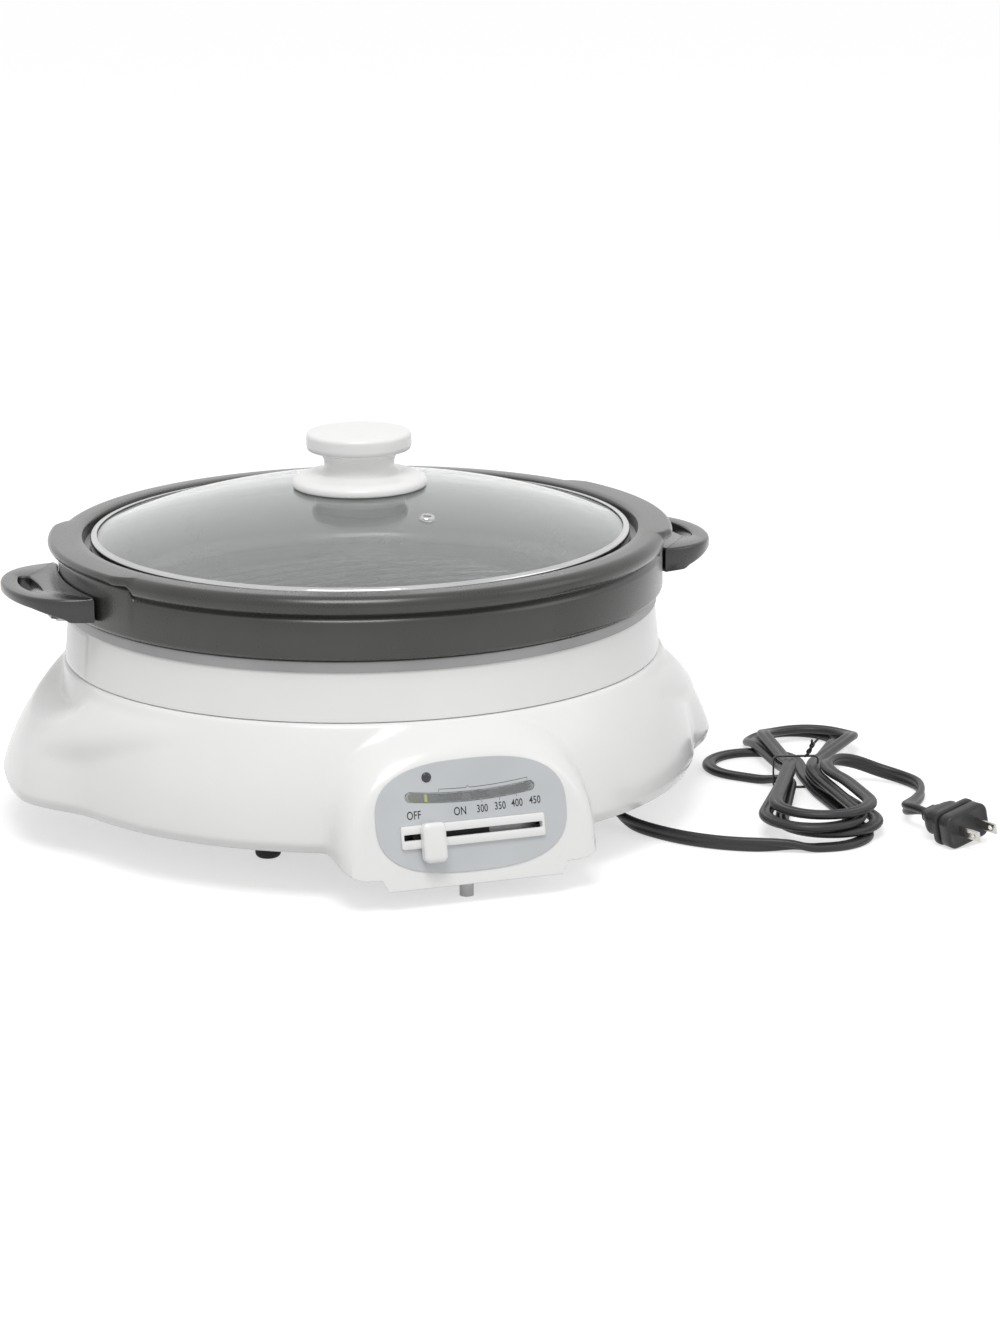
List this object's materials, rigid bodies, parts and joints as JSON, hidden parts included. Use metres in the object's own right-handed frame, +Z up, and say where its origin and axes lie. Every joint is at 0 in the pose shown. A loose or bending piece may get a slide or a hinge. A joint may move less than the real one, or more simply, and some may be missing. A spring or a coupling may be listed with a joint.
{
  "type": "electric hot pot with lid",
  "caption": "Electric hot pot: round heating base with a sliding heat control, lift-off collar, shallow grill pan with side handles, domed glass lid, mains lead and plug.",
  "frame": {"origin": "on the table under the middle of the object's own box without its mains lead; the pot's axis stands 11.5 mm behind it", "axes": "+Z up, the control panel towards -Y, the pan handles along X"},
  "size_m": [0.5395, 0.4269, 0.231],
  "materials": {
    "white_plastic": "glossy moulded",
    "cover_plastic": "fine grain",
    "black_rubber": "matt",
    "grey_plastic": "satin",
    "screw_steel": "zinc plated",
    "shield_steel": "plain sheet",
    "reflector": "bright",
    "element": "dark sheath",
    "spring_steel": "bright wire",
    "sensor_cap": "turned",
    "ceramic": "glazed",
    "label_silver": "satin silver-grey",
    "window_tint": "dark tint",
    "lamp_lens": "dark amber, unlit",
    "pointer": "yellow-green",
    "thermostat": "moulded phenolic",
    "wire": "glass-sleeved wire",
    "support_metal": "satin",
    "pan_coat": "dark grey non-stick",
    "handle_plastic": "satin black",
    "rim_steel": "bright polished",
    "glass": "clear",
    "gasket": "silicone",
    "boss_plastic": "satin grey",
    "blade_brass": "nickel plated",
    "cord_pvc": "satin"
  },
  "bodies": {
    "base": {"base_housing": "white_plastic", "bottom_cover": "cover_plastic", "rubber_feet": "black_rubber", "front_peg_foot": "grey_plastic", "cover_screws": "screw_steel", "heat_shield": "shield_steel", "reflector_dish": "reflector", "heating_ring": "element", "ring_supports": "shield_steel", "sensor_guide": "shield_steel", "sensor_spring": "spring_steel", "thermal_fuse": "ceramic", "label_plate": "label_silver", "window_lens": "window_tint", "slot_frame": "white_plastic", "pilot_lamp": "lamp_lens", "thermostat_body": "thermostat", "thermostat_bracket": "shield_steel", "bracket_screws": "screw_steel", "terminal_block": "ceramic", "inner_wires": "wire", "cord_gland": "cover_plastic", "strain_relief": "cord_pvc", "cord_run": "cord_pvc", "cord_hank": "cord_pvc", "cord_tie": "black_rubber", "cord_tail": "cord_pvc", "plug_body": "cord_pvc", "plug_blades": "blade_brass"},
    "slider": {"slider_knob": "white_plastic", "slider_carriage": "cover_plastic", "scale_pointer": "pointer"},
    "thermostat_rotor": {"thermostat_shaft": "screw_steel", "thermostat_pinion": "cover_plastic"},
    "sensor": {"sensor_plunger": "sensor_cap"},
    "collar": {"collar_ring": "white_plastic", "support_ring": "support_metal"},
    "pan": {"pan": "pan_coat", "left_pan_handle": "handle_plastic", "right_pan_handle": "handle_plastic", "handle_screws": "screw_steel"},
    "lid": {"lid_rim": "rim_steel", "lid_glass": "glass", "lid_vent": "rim_steel", "lid_knob": "white_plastic", "knob_gasket": "gasket", "knob_boss": "boss_plastic", "knob_screw": "screw_steel"}
  },
  "joints": [
    {"name": "slider_travel", "type": "slide", "parent": "base", "child": "slider", "axis": [1, 0, 0], "range_m": [-0.007, 0.057]},
    {"name": "thermostat_turn", "type": "hinge", "parent": "base", "child": "thermostat_rotor", "pos_m": [0, -0.18124, 0.05641], "axis": [0, -0.9744, 0.225], "range_deg": [-30, 235]},
    {"name": "sensor_press", "type": "slide", "parent": "base", "child": "sensor", "axis": [0, 0, 1], "range_m": [-0.004, 0], "stiffness_N_per_m": 300, "springref_m": 0.004, "deforming": ["sensor_spring"]},
    {"name": "collar_lift", "type": "slide", "parent": "base", "child": "collar", "axis": [0, 0, 1], "range_m": [0, 0.12]},
    {"name": "pan_lift", "type": "slide", "parent": "collar", "child": "pan", "axis": [0, 0, 1], "range_m": [0, 0.15]},
    {"name": "lid_lift", "type": "slide", "parent": "pan", "child": "lid", "axis": [0, 0, 1], "range_m": [0, 0.15]}
  ],
  "couplings": [
    {"joint": "thermostat_turn", "follows": "slider_travel", "rad_per_m": 71.429}
  ]
}
